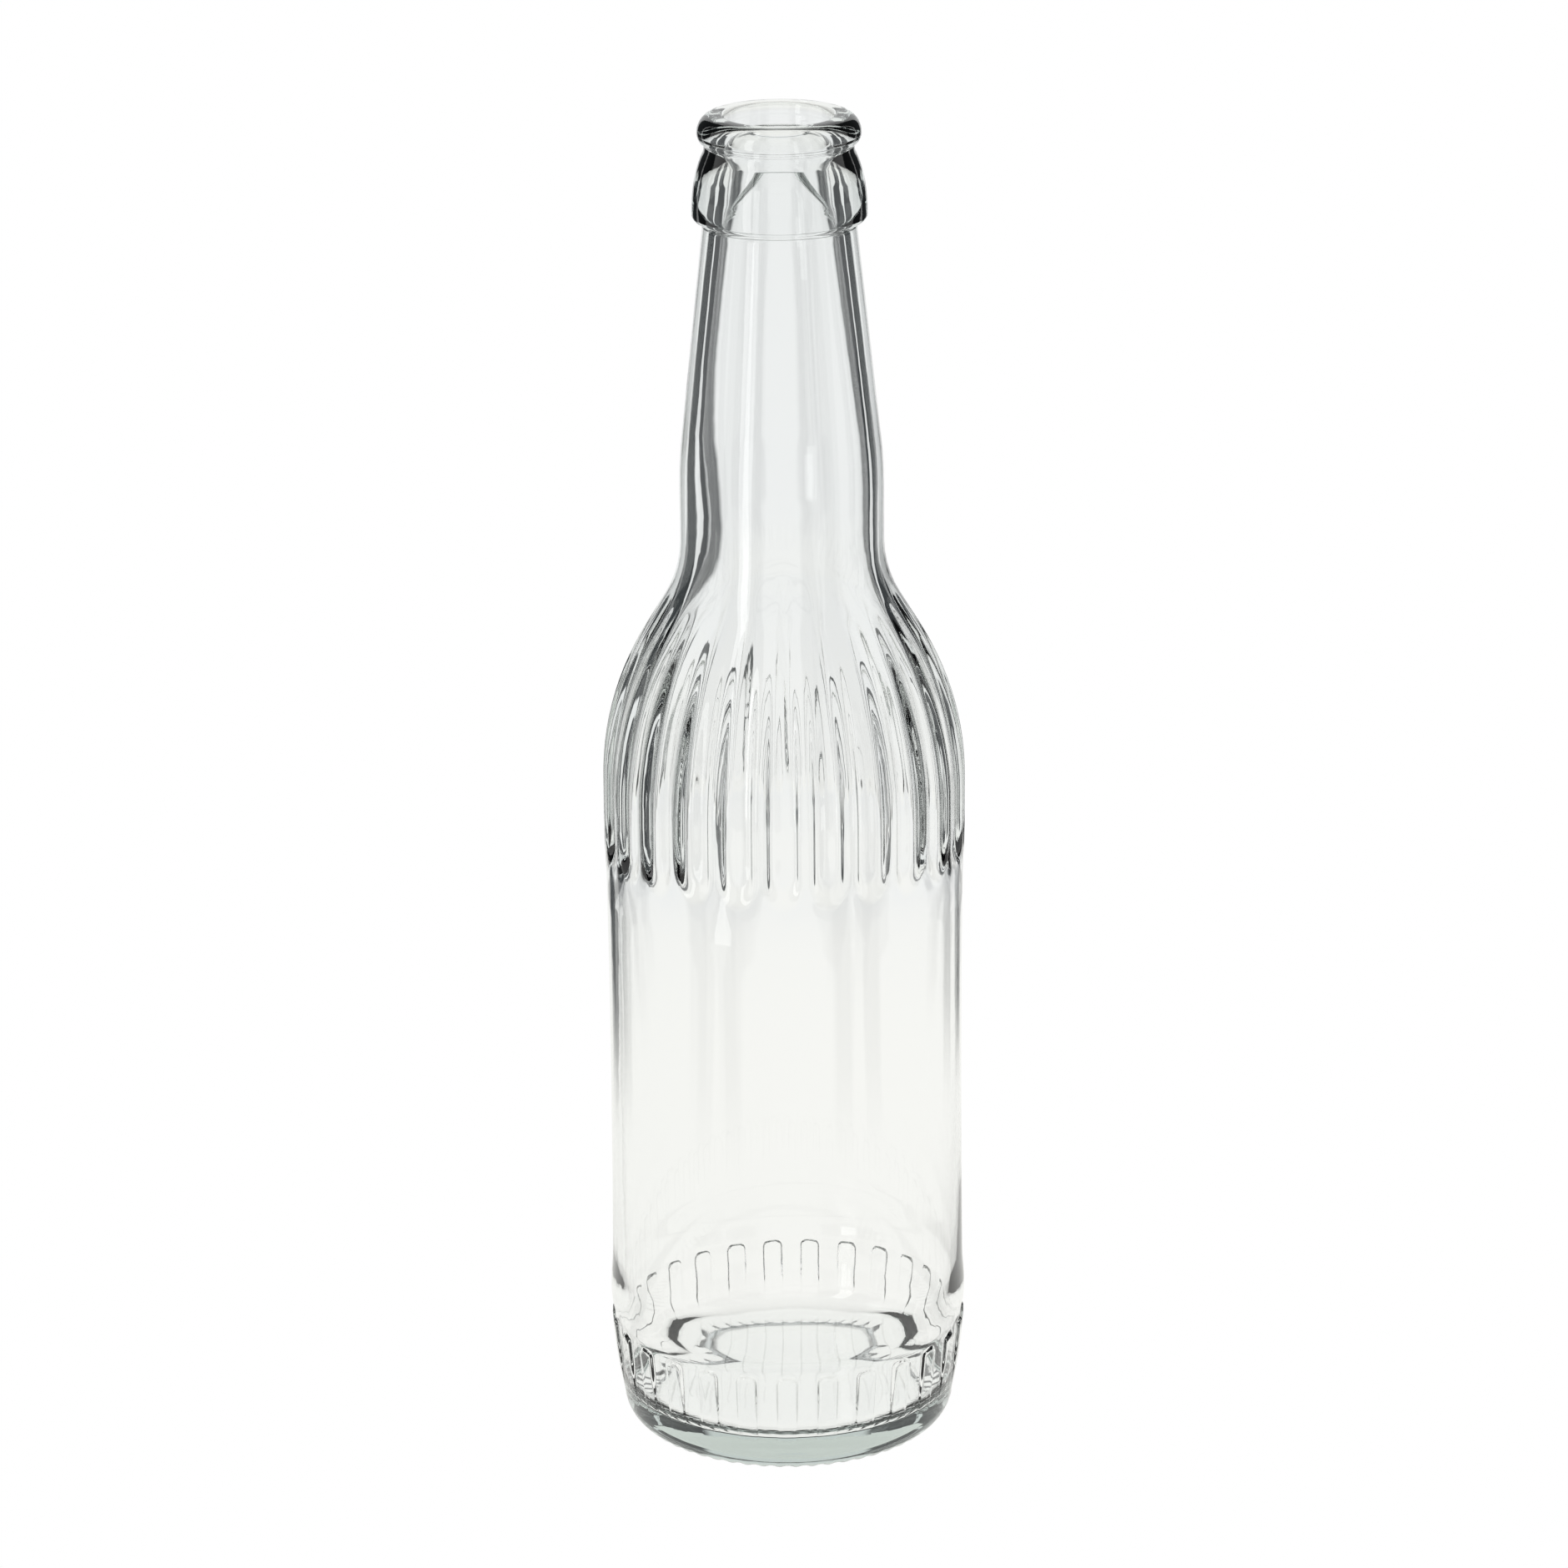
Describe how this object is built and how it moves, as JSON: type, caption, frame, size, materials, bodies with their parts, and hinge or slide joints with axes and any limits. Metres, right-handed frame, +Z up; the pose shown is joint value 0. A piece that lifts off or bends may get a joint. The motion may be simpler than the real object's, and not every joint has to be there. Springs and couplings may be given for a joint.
{
  "type": "crown cap bottle",
  "caption": "Empty clear glass long-neck bottle with a crown finish, fluted shoulder, recessed label panel, pads moulded round its heel and a shallow push-up base.",
  "frame": {"origin": "centre of the base, on the surface that the bottle stands on", "axes": "+Z up along the bottle's axis; one shoulder flute and one heel pad face -Y, the side the picture shows"},
  "size_m": [0.0608, 0.0608, 0.2286],
  "materials": {
    "clear_glass": "clear moulded glass, fire-polished"
  },
  "bodies": {
    "root": {"bottle": "clear_glass"}
  },
  "joints": []
}
